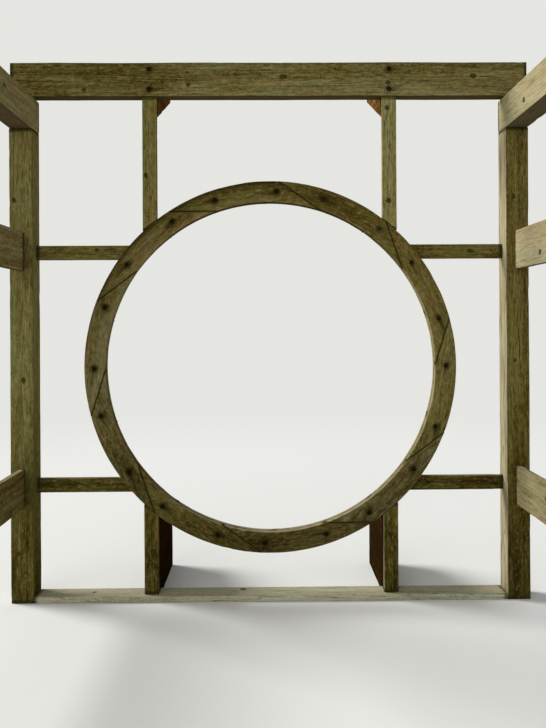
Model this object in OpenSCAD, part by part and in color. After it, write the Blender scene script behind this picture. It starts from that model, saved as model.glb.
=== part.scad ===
// Timber moon gate: a round opening of scarfed ring segments in two layers, set in a screen of
// studs and rails between two posts, with one bay of side boards and beams on each side.
// X runs across the gate, Y points to the back, Z is up. The origin is the middle of the sill's underside.

/* [Ring] */
// Clear diameter of the round opening
opening_d = 2000; // [1500:10:2150]
// Width of the ring band, seen from the front
band_w = 130; // [100:1:180]
// Thickness of one layer of the ring
layer_t = 38; // [25:1:50]
// Height of the ring's lowest point above the sill
ring_rise = 241; // [120:1:400]
// Angle around the ring that a scarf cut takes up, in degrees
scarf_sweep = 14.6; // [6:0.2:20]
// Angle of the first seam of the front layer, in degrees from the right
first_seam = 8; // [0:1:35]
// Gap left in each seam
seam_gap = 0.6; // [0.2:0.1:0.8]

/* [Header] */
// Height of the header
header_h = 206; // [150:1:260]
// Thickness of the header
header_t = 89; // [60:1:120]

/* [Posts] */
// Width of a post
post_w = 140; // [100:1:180]
// Height of the posts from the ground
post_h = 2852; // [2700:1:3100]
// Clear distance between the gate posts
clear_w = 2850; // [2700:10:3400]

/* [Studs and rails] */
// Width of a stud, seen from the front
stud_w = 89; // [60:1:120]
// Thickness of a stud
stud_t = 38; // [25:1:50]
// Angle around the ring at which the middle of a stud meets it, in degrees from the side
stud_angle = 50; // [46:0.2:60]
// Height of a rail
rail_h = 89; // [60:1:120]
// Thickness of a rail
rail_t = 38; // [25:1:50]
// Angle above the ring's middle at which the upper rails meet it, in degrees
upper_rail_angle = 38.4; // [30:0.2:41]
// Angle below the ring's middle at which the lower rails meet it, in degrees
lower_rail_angle = 39.4; // [30:0.2:41]

/* [Sill] */
// Thickness of the sill board
sill_t = 38; // [25:1:60]

/* [Side bays] */
// Distance between the middles of a gate post and its front post
bay_l = 2400; // [1200:10:3000]
// Height of a side beam
beam_h = 198; // [140:1:240]
// Thickness of a side beam
beam_t = 140; // [89:1:140]
// Height of a side board
board_h = 235; // [140:1:280]
// Thickness of a side board
board_t = 38; // [25:1:50]

/* [Rear brackets] */
// Reach of the rear arms and feet behind the header
bracket_l = 545; // [300:1:700]
// Depth of a rear arm below the header, at the back of the stud
arm_drop = 121; // [60:1:200]
// Height of a rear arm at its tip
arm_tip_h = 50; // [20:1:100]
// Height of a rear foot above the sill, at the back of the stud
foot_h = 465; // [200:1:470]
// Height of a rear foot above the ground at its tip
foot_tip_h = 338; // [100:1:380]

/* [Bolt recesses] */
// Diameter of the round recesses that hold the bolt heads
recess_d = 25; // [16:1:34]
// Depth of the recesses
recess_depth = 14; // [6:1:20]
// Distance of a ring bolt from the outer rim of the ring
recess_edge = 64; // [35:1:80]
// Angle from the middle of a ring segment to each of its bolts, in degrees
recess_turn = 10.2; // [4:0.2:11]
// Height between the two bolts of a rear arm, in the header
header_bolt_gap = 121; // [60:1:140]

/* [Hidden] */

segments = 10;
segment_sweep = 360 / segments;
inner_r = opening_d / 2;
outer_r = inner_r + band_w;
ring_z = sill_t + ring_rise + outer_r;
upper_rail_z = ring_z + outer_r * sin(upper_rail_angle);
lower_rail_z = ring_z - outer_r * sin(lower_rail_angle);
stud_x = outer_r * cos(stud_angle);
header_z = post_h + beam_h;
header_top = header_z + header_h;
header_front = -header_t / 2;
header_back = header_t / 2;
stud_back = header_front + stud_t;
tip_y = header_back + bracket_l;
inner_face_x = clear_w / 2;
post_x = inner_face_x + post_w / 2;
outer_face_x = inner_face_x + post_w;
rim_gap = 0.3; // between the ring's rim and what meets it
past = 1; // how far a recess is cut out past the face it starts from
cut_past = 0.2; // share of its length that a scarf cut is drawn past each rim
far = 1.2; // share of the rim's radius that lies safely outside the ring
$fn = 180;

wood = "#857a5c";
dark_wood = "#6f6248";
red_wood = "#7a5138";
pale_wood = "#a79f8c";

left = -1;
right = 1;

// A box with its middle at x, between two depths and two heights
module timber(x, width, y0, y1, z0, z1) {
    translate([x - width / 2, y0, z0]) cube([width, y1 - y0, z1 - z0]);
}

// The round bar that the ring leaves free, used to shape what meets its rim
module rim_cut() {
    translate([0, 0, ring_z])
        rotate([90, 0, 0])
            cylinder(r = outer_r + rim_gap, h = 2 * post_w, center = true);
}

// A point on a circle about the ring's centre
function on_circle(r, angle) = [r * cos(angle), r * sin(angle)];

// A scarf cut is the straight line from the inner rim to the outer rim, drawn on past both rims
function cut_inner(seam) = on_circle(inner_r, seam - scarf_sweep / 2);
function cut_outer(seam) = on_circle(outer_r, seam + scarf_sweep / 2);
function cut_run(seam) = cut_outer(seam) - cut_inner(seam);
function cut_start(seam) = cut_inner(seam) - cut_run(seam) * cut_past;
function cut_end(seam) = cut_outer(seam) + cut_run(seam) * cut_past;

// The area between two neighbouring scarf cuts
module between_cuts(seam) {
    next = seam + segment_sweep;
    outside = on_circle(outer_r * far, seam + scarf_sweep / 2 + segment_sweep / 2);
    polygon([cut_start(seam), cut_end(seam), outside, cut_end(next), cut_start(next)]);
}

// The thin strip along a scarf cut that keeps neighbouring segments apart
module seam_strip(seam) {
    run = cut_run(seam);
    aside = [-run.y, run.x] / norm(run) * seam_gap / 2;
    a = cut_start(seam) - run;
    b = cut_end(seam) + run;
    polygon([a - aside, b - aside, b + aside, a + aside]);
}

// Outline of one curved segment, lying flat
module segment_outline(seam) {
    difference() {
        intersection() {
            difference() {
                circle(r = outer_r);
                circle(r = inner_r);
            }
            between_cuts(seam);
        }
        seam_strip(seam);
        seam_strip(seam + segment_sweep);
    }
}

// One segment stood upright, from its front depth y0 to the back
module ring_segment(seam, y0) {
    translate([0, y0 + layer_t, ring_z])
        rotate([90, 0, 0])
            linear_extrude(layer_t) segment_outline(seam);
}

// A round recess for a bolt head, drilled from the front into a face at depth y
module bolt_recess(x, y, z) {
    translate([x, y - past, z])
        rotate([-90, 0, 0])
            cylinder(d = recess_d, h = recess_depth + past);
}

// Front layer: each segment has two recessed bolts
module ring_front(number) {
    seam = first_seam + (number - 1) * segment_sweep;
    middle = seam + segment_sweep / 2;
    color(wood)
        difference() {
            ring_segment(seam, -layer_t);
            for (turn = [-recess_turn, recess_turn]) {
                bolt = on_circle(outer_r - recess_edge, middle + turn);
                bolt_recess(bolt.x, -layer_t, ring_z + bolt.y);
            }
        }
}

// Back layer: turned half a segment, so that its seams fall between those of the front layer
module ring_back(number) {
    half_turn = segment_sweep / 2;
    color(dark_wood)
        ring_segment(first_seam + (number - 1) * segment_sweep + half_turn, 0);
}

// Header beam on top of the side beams, with the recessed bolts of the rear arms
module header() {
    middle_z = header_z + header_h / 2;
    color(wood)
        difference() {
            timber(0, 2 * outer_face_x, header_front, header_back, header_z, header_top);
            for (side = [left, right], step = [-1, 1])
                bolt_recess(side * stud_x, header_front, middle_z + step * header_bolt_gap / 2);
        }
}

// Stud from the ring's rim up to the header, flush with the header's front
module upper_stud(side) {
    color(wood)
        difference() {
            timber(side * stud_x, stud_w, header_front, stud_back, ring_z, header_z);
            rim_cut();
        }
}

// Stud from the sill up to the ring's rim
module lower_stud(side) {
    color(wood)
        difference() {
            timber(side * stud_x, stud_w, header_front, stud_back, sill_t, ring_z);
            rim_cut();
        }
}

// Rail from the ring's rim to the post, flush with the ring's back
module rail(side, middle_z) {
    color(wood)
        difference() {
            timber(side * inner_face_x / 2, inner_face_x, layer_t - rail_t, layer_t,
                   middle_z - rail_h / 2, middle_z + rail_h / 2);
            rim_cut();
        }
}

// Square post with its middle at depth y
module post(side, y) {
    color(dark_wood)
        timber(side * post_x, post_w, y - post_w / 2, y + post_w / 2, 0, post_h);
}

// Board on the ground between the gate posts
module sill() {
    color(pale_wood)
        timber(0, clear_w, -post_w / 2, post_w / 2, 0, sill_t);
}

// Lays a side outline of depth and height across the width of a stud
module across_stud(side) {
    translate([side * stud_x + stud_w / 2, 0, 0])
        rotate([90, 0, -90])
            mirror([1, 0, 0])
                linear_extrude(stud_w) children();
}

// Arm behind the stud, notched round the header and rising to a thinner tip
module rear_arm(side) {
    color(red_wood)
        across_stud(side)
            polygon([
                [stud_back, header_z - arm_drop],
                [tip_y, header_top - arm_tip_h],
                [tip_y, header_top],
                [header_back, header_top],
                [header_back, header_z],
                [stud_back, header_z]
            ]);
}

// Foot behind the lower stud, notched over the sill, with a falling top that clears the ring
module rear_foot(side) {
    color(red_wood)
        difference() {
            across_stud(side)
                polygon([
                    [stud_back, sill_t],
                    [post_w / 2, sill_t],
                    [post_w / 2, 0],
                    [tip_y, 0],
                    [tip_y, foot_tip_h],
                    [stud_back, sill_t + foot_h]
                ]);
            rim_cut();
        }
}

// Beam on the two posts of a side bay, over the middle of the posts
module side_beam(side) {
    color(wood)
        timber(side * post_x, beam_t, -bay_l - post_w / 2, post_w / 2, post_h, header_z);
}

// Board on edge between the two posts of a side bay
module side_board(side, middle_z) {
    color(wood)
        timber(side * post_x, board_t, -bay_l + post_w / 2, -post_w / 2,
               middle_z - board_h / 2, middle_z + board_h / 2);
}

for (number = [1:segments]) {
    ring_front(number);
    ring_back(number);
}
header();
upper_stud(left);  // upper_stud_left
upper_stud(right);  // upper_stud_right
lower_stud(left);  // lower_stud_left
lower_stud(right);  // lower_stud_right
rail(left, upper_rail_z);  // upper_rail_left
rail(right, upper_rail_z);  // upper_rail_right
rail(left, lower_rail_z);  // lower_rail_left
rail(right, lower_rail_z);  // lower_rail_right
post(left, 0);  // gate_post_left
post(right, 0);  // gate_post_right
sill();
rear_arm(left);  // rear_arm_left
rear_arm(right);  // rear_arm_right
rear_foot(left);  // rear_foot_left
rear_foot(right);  // rear_foot_right
side_beam(left);  // side_beam_left
side_beam(right);  // side_beam_right
side_board(left, upper_rail_z);  // side_board_upper_left
side_board(right, upper_rail_z);  // side_board_upper_right
side_board(left, lower_rail_z);  // side_board_lower_left
side_board(right, lower_rail_z);  // side_board_lower_right
post(left, -bay_l);  // front_post_left
post(right, -bay_l);  // front_post_right
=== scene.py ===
"""Moon gate: a round opening of scarfed timber segments in a screen of studs, rails and posts."""

import math
import random
from typing import NamedTuple

import bmesh
import bpy
from bpy.props import FloatProperty, FloatVectorProperty, PointerProperty
from mathutils import Matrix, Vector, noise


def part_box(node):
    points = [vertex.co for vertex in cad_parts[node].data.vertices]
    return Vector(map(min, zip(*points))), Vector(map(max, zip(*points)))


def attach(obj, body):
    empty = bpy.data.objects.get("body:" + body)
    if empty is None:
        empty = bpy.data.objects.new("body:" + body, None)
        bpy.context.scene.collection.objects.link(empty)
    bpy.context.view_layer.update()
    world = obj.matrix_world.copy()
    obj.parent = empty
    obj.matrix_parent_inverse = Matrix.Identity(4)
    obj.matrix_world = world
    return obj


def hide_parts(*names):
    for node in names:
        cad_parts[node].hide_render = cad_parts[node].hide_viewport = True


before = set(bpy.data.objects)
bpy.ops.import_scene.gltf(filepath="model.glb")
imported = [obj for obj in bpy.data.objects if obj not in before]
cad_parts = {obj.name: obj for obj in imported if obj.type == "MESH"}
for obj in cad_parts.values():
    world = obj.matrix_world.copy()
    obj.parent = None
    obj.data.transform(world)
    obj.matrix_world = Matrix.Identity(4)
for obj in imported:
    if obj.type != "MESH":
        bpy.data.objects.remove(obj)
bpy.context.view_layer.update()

bl_info = {
    "name": "Moon gate",
    "version": (1, 0, 0),
    "blender": (4, 5, 0),
    "location": "3D View > Sidebar > Moon gate",
    "description": "Dresses the timbers, bolts and stage of a weathered moon gate",
    "category": "Add Mesh",
}

SIDES = {"left": -1, "right": 1}

# Distances: within rounding, of a point that counts as on a line, and of a mark that isn't there
TINY = 1e-5
TOUCHING = 1e-4
FAR = 9.0

# Edges that turn more than this stay sharp
SMOOTH_ANGLE = math.radians(38)

# How a timber lies in the gate: the direction along its grain, and the one across it
ALONG_X = (Vector((1, 0, 0)), Vector((0, 0, 1)))
ALONG_Y = (Vector((0, 1, 0)), Vector((0, 0, 1)))
ALONG_Z = (Vector((0, 0, 1)), Vector((-1, 0, 0)))
LYING = (Vector((1, 0, 0)), Vector((0, 1, 0)))

# A timber's long faces, as named on one along X: the axis that cracks spread along, and the side
FACES = {"front": (1, 1), "back": (1, -1), "top": (2, 1), "bottom": (2, -1)}


def joined_box(nodes):
    """Lowest and highest corner of several CAD nodes together."""
    boxes = [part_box(node) for node in nodes]
    low = Vector(min(box[0][axis] for box in boxes) for axis in range(3))
    high = Vector(max(box[1][axis] for box in boxes) for axis in range(3))
    return low, high


SEGMENTS = 10
SEGMENT_SWEEP = math.tau / SEGMENTS
FRONT_SEGMENTS = [f"ring_front_{number}" for number in range(1, SEGMENTS + 1)]
BACK_SEGMENTS = [f"ring_back_{number}" for number in range(1, SEGMENTS + 1)]
RING_LOW, RING_HIGH = joined_box(FRONT_SEGMENTS)
RING_CENTRE = Vector((0, 0, (RING_LOW.z + RING_HIGH.z) / 2))
OUTER_RADIUS = (RING_HIGH.x - RING_LOW.x) / 2
HEADER_LOW, HEADER_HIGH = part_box("header")
SILL_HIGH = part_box("sill")[1]


def number_property(name, description, default, unit="NONE", subtype="NONE"):
    """A number that the user can set."""
    return FloatProperty(
        name=name, description=description, default=default, unit=unit, subtype=subtype
    )


def length_property(name, description, metres):
    """A length that the user can set."""
    return number_property(name, description, metres, unit="LENGTH")


def angle_property(name, description, degrees):
    """An angle that the user can set."""
    return number_property(name, description, math.radians(degrees), subtype="ANGLE")


def colour_property(name, description, default):
    """A colour that the user can pick, given as it looks on a screen."""
    return FloatVectorProperty(
        name=name, description=description, default=default, subtype="COLOR_GAMMA", min=0, max=1
    )


class RingSizes(bpy.types.PropertyGroup):
    """Sizes of the ring."""

    opening: length_property("Opening", "Clear diameter of the ring", 2.0)
    scarf_sweep: angle_property("Scarf sweep", "Angle around the ring that a scarf cut takes up", 14.6)
    first_seam: angle_property("First seam", "Angle of the front layer's first seam, from the right", 8)
    seam_gap: length_property("Seam gap", "Width that a seam has opened to", 0.0030)
    seam_arris: length_property("Seam arris", "Rounding of the edges along a seam", 0.0024)
    bolt_edge: length_property("Bolt edge distance", "Distance of a ring bolt from the outer rim", 0.064)
    bolt_turn: angle_property("Bolt turn", "Angle from a segment's middle to each of its bolts", 10.2)


class TimberSizes(bpy.types.PropertyGroup):
    """How far the timbers have worn back from their sawn sizes."""

    arris: length_property("Arris", "Rounding of the long edges", 0.0045)
    end_arris: length_property("End arris", "Rounding of the edges at an end", 0.0025)
    row_spacing: length_property("Row spacing", "Distance between lines along a timber", 0.0075)
    station_spacing: length_property("Station spacing", "Distance between lines across a timber", 0.014)
    surface_wear: length_property("Surface wear", "Mean depth worn off a face", 0.0008)
    arris_wear: length_property("Arris wear", "Mean depth worn off an arris", 0.0012)
    chip_depth: length_property("Chip depth", "Depth of the chips in an arris", 0.012)


class BoltSizes(bpy.types.PropertyGroup):
    """Sizes of the bolts and of the recesses that hold their heads."""

    recess_diameter: length_property("Recess", "Diameter of a recess", 0.025)
    recess_depth: length_property("Recess depth", "Depth of a recess", 0.014)
    washer_diameter: length_property("Washer", "Diameter of a washer", 0.0225)
    washer_thickness: length_property("Washer thickness", "Thickness of a washer", 0.0016)
    head_width: length_property("Head", "Width across the flats of a bolt head", 0.013)
    head_height: length_property("Head height", "Height of a bolt head", 0.0055)
    header_gap: length_property("Header bolts", "Height between the two bolts of a rear arm", 0.121)


class BracketSizes(bpy.types.PropertyGroup):
    """Sizes of the rear arms and feet."""

    arm_tip: length_property("Arm tip", "Height of a rear arm at its tip", 0.050)
    foot_tip: length_property("Foot tip", "Height of a rear foot at its tip", 0.338)


class GateColours(bpy.types.PropertyGroup):
    """Middle tones of the finishes, as they look on a screen."""

    ring_timber: colour_property("Ring", "Timber of the ring", (0.435, 0.40, 0.22))
    frame_timber: colour_property("Frame", "Timber of the header, studs and rails", (0.45, 0.425, 0.235))
    post_timber: colour_property("Posts", "Timber of the posts", (0.42, 0.395, 0.218))
    side_timber: colour_property("Sides", "Timber of the side beams and boards", (0.54, 0.505, 0.355))
    sheltered_timber: colour_property("Rear", "Timber of the rear arms and feet", (0.40, 0.28, 0.145))
    sill_timber: colour_property("Sill", "Bleached timber of the sill", (0.655, 0.67, 0.57))
    steel: colour_property("Bolts", "Rusted steel of the bolts", (0.11, 0.085, 0.065))
    floor: colour_property("Floor", "Plain floor under the gate", (0.90, 0.90, 0.885))


class StageSettings(bpy.types.PropertyGroup):
    """Camera and light."""

    camera_place: FloatVectorProperty(
        name="Camera", description="Place of the camera", default=(-0.026, -4.28, 1.679), subtype="XYZ"
    )
    yaw: angle_property("Yaw", "Turn of the camera to the right", 0.56)
    roll: angle_property("Roll", "Lean of the camera", -0.3)
    lens: number_property("Lens", "Focal length in millimetres", 34.6)
    rise: number_property("Shift", "Vertical shift, as a share of the long side", -0.057)
    floor_radius: length_property("Floor radius", "Radius of the round floor", 40)
    sky: number_property("Sky", "Strength of the even light all round", 0.33)
    sun: number_property("Sun", "Strength of the light from the back left", 3.6)
    fill: number_property("Fill", "Strength of the light from the front", 1.15)


class GateSettings(bpy.types.PropertyGroup):
    """All sizes, colours and stage settings of the gate."""

    ring: PointerProperty(type=RingSizes)
    timber: PointerProperty(type=TimberSizes)
    bolts: PointerProperty(type=BoltSizes)
    brackets: PointerProperty(type=BracketSizes)
    colours: PointerProperty(type=GateColours)
    stage: PointerProperty(type=StageSettings)


def settings():
    """The scene's own settings, by group."""
    return bpy.context.scene.moon_gate


def linear(screen):
    """A screen colour as the linear colour that a shader takes, with full alpha."""
    parts = (
        value / 12.92 if value <= 0.04045 else ((value + 0.055) / 1.055) ** 2.4 for value in screen
    )
    return (*parts, 1.0)


def scaled(paint, factor):
    """A linear colour made darker or lighter, with full alpha."""
    return (*(min(1.0, value * factor) for value in paint[:3]), 1.0)


def blended(paint, other, share):
    """A linear colour moved towards another, with full alpha."""
    return (*(a + (b - a) * share for a, b in zip(paint[:3], other[:3])), 1.0)


def tinted(paint, tint, share):
    """A linear colour times a tint, in part or whole."""
    return tuple(value * (1 + (factor - 1) * share) for value, factor in zip(paint, tint))


class Signal:
    """One value in a node tree: maths on it adds Math nodes."""

    def __init__(self, finish, socket):
        self.finish = finish
        self.socket = socket

    def __add__(self, other):
        return self.finish.maths("ADD", self, other)

    def __radd__(self, other):
        return self.finish.maths("ADD", other, self)

    def __sub__(self, other):
        return self.finish.maths("SUBTRACT", self, other)

    def __rsub__(self, other):
        return self.finish.maths("SUBTRACT", other, self)

    def __mul__(self, other):
        return self.finish.maths("MULTIPLY", self, other)

    def __rmul__(self, other):
        return self.finish.maths("MULTIPLY", other, self)

    def __truediv__(self, other):
        return self.finish.maths("DIVIDE", self, other)

    def __rtruediv__(self, other):
        return self.finish.maths("DIVIDE", other, self)

    def swing(self, weight):
        """How far a noise is from its middle, times a weight."""
        return (self - 0.5) * weight


class Finish:
    """The node tree of a material or of the world, under construction."""

    def __init__(self, owner):
        owner.use_nodes = True
        self.owner = owner
        self.tree = owner.node_tree
        self.tree.nodes.clear()

    def node(self, kind, choices, sockets, output=0):
        """Adds a node, makes its choices first, feeds its sockets and gives one of its outputs."""
        made = self.tree.nodes.new(kind)
        for name, value in choices.items():
            if name == "stops":
                self.set_stops(made.color_ramp, value)
            else:
                setattr(made, name, value)
        for key, value in sockets.items():
            socket = self.socket(made, key)
            if isinstance(value, Signal):
                self.tree.links.new(value.socket, socket)
            else:
                socket.default_value = value
        return Signal(self, made.outputs[output]) if made.outputs else None

    @staticmethod
    def socket(made, key):
        """An input by its number, or by its name among those in use."""
        if isinstance(key, int):
            return made.inputs[key]
        return next(socket for socket in made.inputs if socket.name == key and socket.enabled)

    @staticmethod
    def set_stops(ramp, stops):
        """Places a colour ramp's stops."""
        while len(ramp.elements) < len(stops):
            ramp.elements.new(1.0)
        for element, (place, paint) in zip(ramp.elements, stops):
            element.position = place
            element.color = paint

    def maths(self, operation, *values):
        """One step of maths on a value or two."""
        return self.node("ShaderNodeMath", {"operation": operation}, dict(enumerate(values)))

    def parts(self, vector):
        """The three parts of a vector."""
        return [self.node("ShaderNodeSeparateXYZ", {}, {0: vector}, axis) for axis in range(3)]

    def attribute(self, name):
        """The three parts of a vector that the mesh carries."""
        return self.parts(self.node("ShaderNodeAttribute", {"attribute_name": name}, {}, "Vector"))

    def noise(self, place, stretch, detail=2.0, roughness=0.5):
        """Noise from 0 to 1 over a place given by three parts, each scaled by its stretch."""
        stretched = {axis: place[axis] * stretch[axis] for axis in range(3)}
        point = self.node("ShaderNodeCombineXYZ", {}, stretched)
        kind = {"Vector": point, "Scale": 1.0, "Detail": detail, "Roughness": roughness}
        return self.node("ShaderNodeTexNoise", {}, kind)

    def rise(self, value, low, high):
        """0 below low, 1 above high and a smooth rise between; it falls where high is under low."""
        ends = {"Value": value, "From Min": low, "From Max": high}
        return self.node("ShaderNodeMapRange", {"interpolation_type": "SMOOTHSTEP"}, ends)

    def mix(self, share, under, over, blend="MIX"):
        """One colour laid over another."""
        choices = {"data_type": "RGBA", "blend_type": blend}
        return self.node("ShaderNodeMix", choices, {"Factor": share, "A": under, "B": over}, 2)

    def close(self, sockets, height):
        """Ends the material in one surface shader, with a height in metres as its bump."""
        bump = {"Strength": 1.0, "Distance": 1.0, "Height": height}
        sockets["Normal"] = self.node("ShaderNodeBump", {}, bump)
        shader = self.node("ShaderNodeBsdfPrincipled", {}, sockets)
        self.node("ShaderNodeOutputMaterial", {}, {"Surface": shader})
        return self.owner


class WoodLook(NamedTuple):
    """What sets one weathered timber finish apart from the others."""

    grain: float
    mottle: float
    moss: float
    mould: float
    # bleach: how pale sun bleaching, worn arrises and painted sunlight make the wood
    bleach: float
    crack: float
    # sun: painted sunlight on faces turned towards -X, the side the sun lamp shines from
    sun: float = 0.55
    hue: float = 1.0


# The sun values set how much painted sunlight falls on faces turned towards -X
WOOD_LOOKS = {
    "ring_timber": WoodLook(0.42, 0.80, moss=0.25, mould=0.40, bleach=0.75, crack=0.4),
    "frame_timber": WoodLook(0.55, 0.90, moss=0.28, mould=0.45, bleach=0.60, crack=0.6, sun=1.2),
    "post_timber": WoodLook(0.60, 0.70, moss=0.30, mould=0.50, bleach=0.60, crack=0.7, sun=1.5),
    "side_timber": WoodLook(0.55, 0.55, moss=0.22, mould=0.40, bleach=0.60, crack=0.5),
    "sheltered_timber": WoodLook(0.75, 0.90, moss=0.0, mould=0.50, bleach=0.0, crack=0.5),
    "sill_timber": WoodLook(0.45, 0.60, moss=0.04, mould=0.30, bleach=0.60, crack=0.6, hue=0.3),
}
MOSS_COLOUR = linear((0.36, 0.37, 0.15))
BLEACHED_COLOUR = linear((0.68, 0.64, 0.52))
KNOT_COLOUR = linear((0.22, 0.14, 0.075))
CRACK_COLOUR = linear((0.10, 0.08, 0.05))
RUST_COLOUR = linear((0.20, 0.12, 0.07))
DEEP_TINT = (1.0, 0.92, 0.45)
PALE_TINT = (1.0, 1.05, 1.25)
WARM_TINT = (1.16, 0.92, 0.80, 1.0)
SILVER_TINT = (0.98, 1.05, 1.60, 1.0)
RING_SPACING = 0.0042

# Noises in wood: the stretch along, across and through the grain, then detail and roughness
WANDER = ((0.8, 3.0, 3.0), 1.0)
RIPPLE = ((3.0, 40.0, 40.0), 2.0)
STREAK = ((4.5, 120.0, 120.0), 4.0, 0.62)
BAND = ((1.1, 28.0, 28.0), 2.0)
PATCH = ((3.2, 9.0, 9.0), 4.0, 0.6)
BLOTCH = ((24.0, 60.0, 60.0), 4.0, 0.68)
FIBRE = ((16.0, 850.0, 850.0), 2.0)
SPECK = ((85.0, 150.0, 150.0), 3.0, 0.7)
SPLIT = ((1.7, 48.0, 48.0), 2.0, 0.45)
STAIN = ((2.4, 16.0, 16.0), 2.0)

# Rusted steel: its noises, and how far its scale stands up, in metres
SCALE = ((260.0, 260.0, 260.0), 4.0, 0.65)
BLOOM = ((70.0, 70.0, 70.0), 2.0)
SCALE_HEIGHT = 0.0004

# How far each part of the wood's surface stands up or is sunk, in metres
STREAK_HEIGHT = 0.0009
BLOTCH_HEIGHT = 0.0006
LATE_WOOD_HEIGHT = 0.00035
FIBRE_HEIGHT = 0.00045
KNOT_HEIGHT = 0.0006
MOULD_SINK = 0.0004
CRACK_SINK = 0.0030
HALO_SINK = 0.0008


class Wood(Finish):
    """Weathered timber, laid out along the grain that the mesh carries."""

    def __init__(self, material, look, base):
        super().__init__(material)
        self.look = look
        self.base = base
        self.deep = tinted(base, DEEP_TINT, look.hue)
        self.pale = tinted(base, PALE_TINT, look.hue)
        self.arris, self.end, dirt = self.attribute("place")
        self.lightness, self.moss, self.warmth = self.attribute("tone")
        self.surface = self.attribute("grain")
        along, across, through = self.surface
        knot_x, knot_y, knot_radius = self.attribute("knot")
        knot_square = knot_x * knot_x + knot_y * knot_y
        knot_distance = self.maths("SQRT", knot_square)
        push = knot_y * knot_radius / self.maths("MAXIMUM", knot_square, 1.0)
        pushed = across - push * self.rise(knot_distance, 3.0, 1.0)
        inside = [along, pushed, through]

        self.ripple = self.noise(inside, *RIPPLE)
        radius = self.maths("SQRT", pushed * pushed + through * through)
        wander = self.noise(inside, *WANDER)
        year = self.maths("FRACT", radius / RING_SPACING + wander.swing(22.0) + self.ripple.swing(2.2))
        self.late = self.rise(year, 0.35, 0.85) * self.rise(year, 1.0, 0.9)
        self.streak = self.noise(inside, *STREAK)
        self.band = self.noise(inside, *BAND)
        self.patch = self.noise(self.surface, *PATCH)
        self.blotch = self.noise(self.surface, *BLOTCH)
        self.fibre = self.noise(inside, *FIBRE)
        self.speck = self.noise(self.surface, *SPECK)

        self.grime = self.rise(dirt + self.patch.swing(0.8) + self.blotch.swing(1.3), 0.25, 0.75)
        self.mould = self.rise(self.speck + self.patch.swing(0.5) + self.grime * 0.14, 0.56, 0.66)
        split = self.maths("ABSOLUTE", self.noise(inside, *SPLIT) - 0.5)
        broken = self.rise(self.band + self.patch.swing(0.5), 0.46, 0.56)
        self.crack = self.rise(split, 0.011, 0.003) * broken * look.crack
        self.knot_edge = knot_distance + self.blotch.swing(2.0)
        self.knot = self.rise(self.knot_edge, 1.35, 0.75)
        self.halo = self.rise(self.maths("ABSOLUTE", self.knot_edge - 1.0), 0.3, 0.0)

    def ground(self):
        """The colour of the grain and mottle, before any stain or mark."""
        look = self.look
        tone = 0.55
        for signal, weight in (
            (self.streak, look.grain),
            (self.band, look.grain),
            (self.blotch, 0.85 * look.mottle),
            (self.patch, 0.80 * look.mottle),
            (self.speck, 1.40 * look.mottle),
            (self.fibre, 0.3),
        ):
            tone = tone + signal.swing(weight)
        tone = tone - self.late * (0.2 * look.grain) - self.grime * 0.22 + self.lightness
        stops = (
            (0.02, blended(scaled(self.deep, 0.16), CRACK_COLOUR, 0.5)),
            (0.30, scaled(self.deep, 0.47)),
            (0.52, scaled(self.base, 0.92)),
            (0.72, scaled(self.pale, 1.36)),
            (0.98, blended(scaled(self.pale, 1.9), BLEACHED_COLOUR, 0.45)),
        )
        return self.node("ShaderNodeValToRGB", {"stops": stops}, {0: tone})

    def stained(self, paint):
        """A colour with its warm, silver, mossy, mouldy and grimy parts."""
        stain = self.noise(self.surface, *STAIN) + self.warmth
        warm = self.rise(stain + self.speck.swing(0.5) + self.blotch.swing(0.3), 0.34, 0.66)
        paint = self.mix(warm * 0.6, paint, WARM_TINT, "MULTIPLY")
        paint = self.mix(self.rise(self.moss, 0.8, 0.0), paint, SILVER_TINT, "MULTIPLY")
        mossy = self.rise(self.patch + self.band.swing(0.6), 0.44, 0.66) * self.moss
        paint = self.mix(mossy * self.look.moss, paint, MOSS_COLOUR)
        paint = self.mix(self.mould * self.look.mould, paint, scaled(self.deep, 0.18))
        return self.mix(self.grime * 0.6, paint, scaled(self.deep, 0.19))

    def bleached(self, paint):
        """A colour made pale by sun bleaching of top faces, wear and lichen, lit by painted sunlight on
        faces turned towards -X, and darkened where it faces down by painted shade over unbleached wood.
        """
        facing_x, _, facing_z = self.parts(self.node("ShaderNodeNewGeometry", {}, {}, "Normal"))
        upward = self.rise(facing_z, 0.55, 0.95) * 0.85
        # Painted sunlight: faces turned towards -X, the side the sun lamp shines from, are paled as if
        # lit
        painted_sunlight = self.rise(facing_x, -0.55, -0.95) * self.look.sun
        worn = self.rise(self.arris + self.ripple.swing(0.008), 0.0055, 0.0005) * 0.55
        share = (upward + painted_sunlight + worn) * self.look.bleach * self.rise(self.streak, 0.25, 0.60)
        paint = self.mix(share * (1 - self.grime * 0.7), paint, BLEACHED_COLOUR)
        lichen = self.rise(self.speck - self.blotch.swing(0.6), 0.40, 0.30)
        paint = self.mix(lichen * (0.60 * self.look.bleach), paint, BLEACHED_COLOUR)
        # Painted shade on faces turned down, over darker unbleached wood
        damp = blended(scaled(self.base, 0.25), KNOT_COLOUR, 0.4)
        return self.mix(self.rise(facing_z, -0.5, -0.95) * 0.85, paint, damp)

    def marked(self, paint):
        """A colour with cracks, end grain, a darker band at every end and seam, which is end grime and
        painted shadow where parts meet, and knots.
        """
        paint = self.mix(self.crack, paint, CRACK_COLOUR)
        # Dark end grain, and a darker band within 10 mm of every end and seam: end grime with painted
        # shadow where parts meet
        end = self.rise(self.end, 0.0022, 0.0014) * 0.35 + self.rise(self.end, 0.010, 0.0) * 0.5
        paint = self.mix(end, paint, scaled(self.base, 0.25))
        knot_year = self.maths("FRACT", self.knot_edge * 3.0)
        knot_paint = self.mix(knot_year, KNOT_COLOUR, scaled(self.base, 0.30))
        paint = self.mix(self.knot * 0.92, paint, knot_paint)
        return self.mix(self.halo * 0.55, paint, CRACK_COLOUR)

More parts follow.
